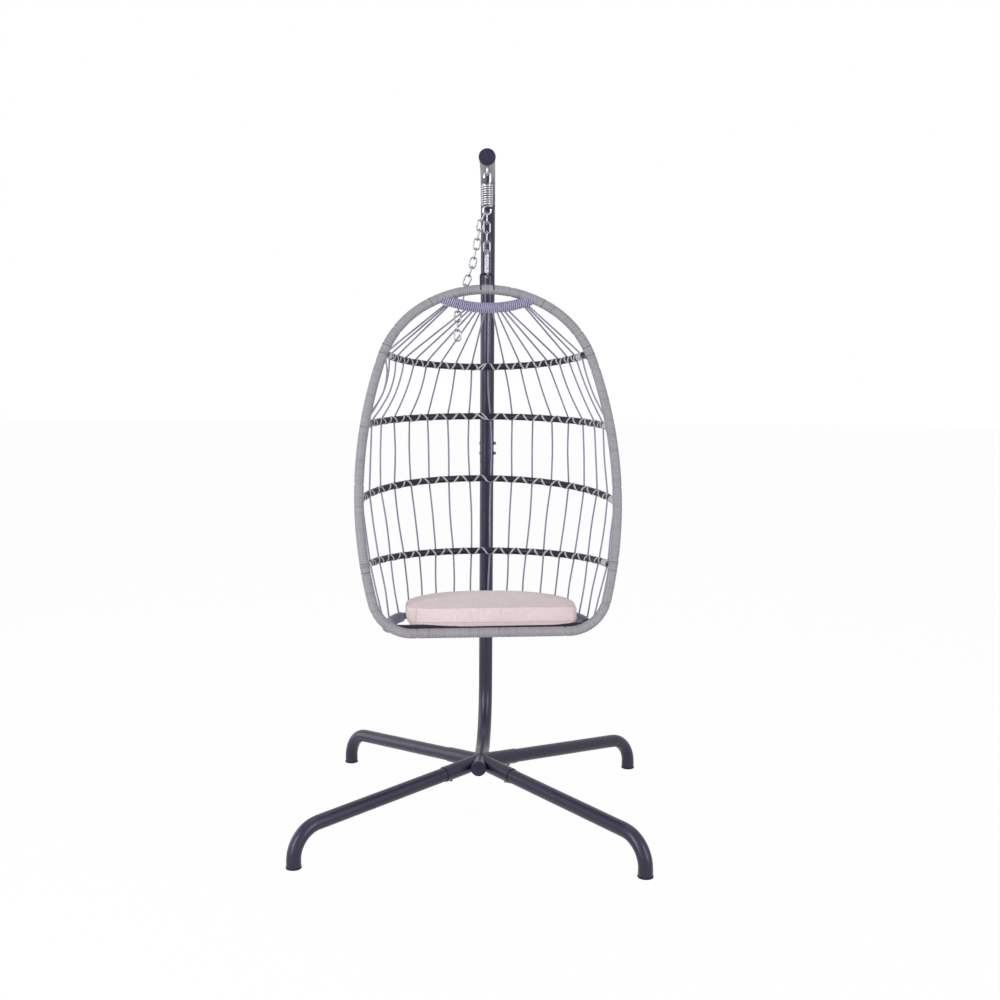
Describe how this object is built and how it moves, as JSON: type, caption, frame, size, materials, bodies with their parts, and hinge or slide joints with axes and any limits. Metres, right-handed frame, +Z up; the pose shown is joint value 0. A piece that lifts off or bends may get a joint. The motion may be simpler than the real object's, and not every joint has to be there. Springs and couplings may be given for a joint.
{
  "type": "hanging egg chair",
  "caption": "Rope-backed egg-shaped basket seat hung by a spring and chain from a curved tube stand with splayed legs, with a loose seat cushion.",
  "frame": {"origin": "on the floor, in the middle of the four feet", "axes": "+Z up, -Y towards the sitter's front, +X to the right seen from the front"},
  "size_m": [0.9684, 0.9684, 1.906],
  "materials": {
    "stand_paint": "satin",
    "black_plastic": "satin",
    "frame_paint": "satin",
    "zinc": "polished",
    "bolt_steel": "satin",
    "wicker": "matte",
    "rope": "matte",
    "linen": "matte"
  },
  "bodies": {
    "stand": {"lower_pole": "stand_paint", "stub_cap": "black_plastic", "leg_front_left": "stand_paint", "leg_front_right": "stand_paint", "leg_back_left": "stand_paint", "leg_back_right": "stand_paint", "foot_cap_front_left": "black_plastic", "foot_cap_front_right": "black_plastic", "foot_cap_back_left": "black_plastic", "foot_cap_back_right": "black_plastic", "leg_bolts": "bolt_steel", "upper_pole": "stand_paint", "pole_bolts": "bolt_steel", "arm_cap": "black_plastic", "hanger_eye": "zinc"},
    "spring": {"spring_top_hook": "zinc", "spring_coil": "zinc"},
    "lower_hook": {"spring_bottom_hook": "zinc"},
    "links": {"first_links": "zinc"},
    "chain": {"main_chain": "zinc", "spare_chain": "zinc", "carabiner_body": "zinc", "gate_pin": "zinc"},
    "gate": {"carabiner_gate": "zinc"},
    "basket": {"ring_tube": "frame_paint", "ring_wicker": "wicker", "hanger_loop": "frame_paint", "hoop_tabs": "frame_paint", "hoop_1": "frame_paint", "hoop_2": "frame_paint", "hoop_3": "frame_paint", "hoop_4": "frame_paint", "hoop_bolts": "bolt_steel", "top_bar": "frame_paint", "top_bar_winding": "rope", "seat_frame": "frame_paint", "seat_winding_left": "rope", "seat_winding_right": "rope", "seat_rods": "frame_paint", "seat_bolts": "bolt_steel", "back_ropes": "rope", "spare_chain_end": "zinc", "cushion": "linen"}
  },
  "joints": [
    {"name": "basket_swivel", "type": "hinge", "parent": "stand", "child": "spring", "pos_m": [0.02041, -0.13947, 1.846], "axis": [0, 0, 1], "range_deg": [-20, 20]},
    {"name": "spring_stretch", "type": "slide", "parent": "spring", "child": "lower_hook", "axis": [0, 0, -1], "range_m": [0, 0.02], "stiffness_N_per_m": 12000, "springref_m": -0.0125, "deforming": ["spring_coil"]},
    {"name": "fore_aft_swing", "type": "hinge", "parent": "lower_hook", "child": "links", "pos_m": [0.02041, -0.13947, 1.7391], "axis": [-0.9986, -0.0523, 0], "range_deg": [-4, 10]},
    {"name": "side_swing", "type": "hinge", "parent": "links", "child": "chain", "pos_m": [0.02041, -0.13947, 1.71355], "axis": [-0.0523, 0.9986, 0], "range_deg": [-6, 6]},
    {"name": "basket_tilt", "type": "hinge", "parent": "chain", "child": "basket", "pos_m": [0.02041, -0.13947, 1.5774], "axis": [-0.9877, -0.1564, 0], "range_deg": [-3, 5]},
    {"name": "gate_opening", "type": "hinge", "parent": "chain", "child": "gate", "pos_m": [0.02416, -0.15451, 1.5926], "axis": [-0.9703, -0.2419, 0], "range_deg": [0, 22], "stiffness_Nm_per_rad": 0.05, "springref_deg": -20.05}
  ]
}
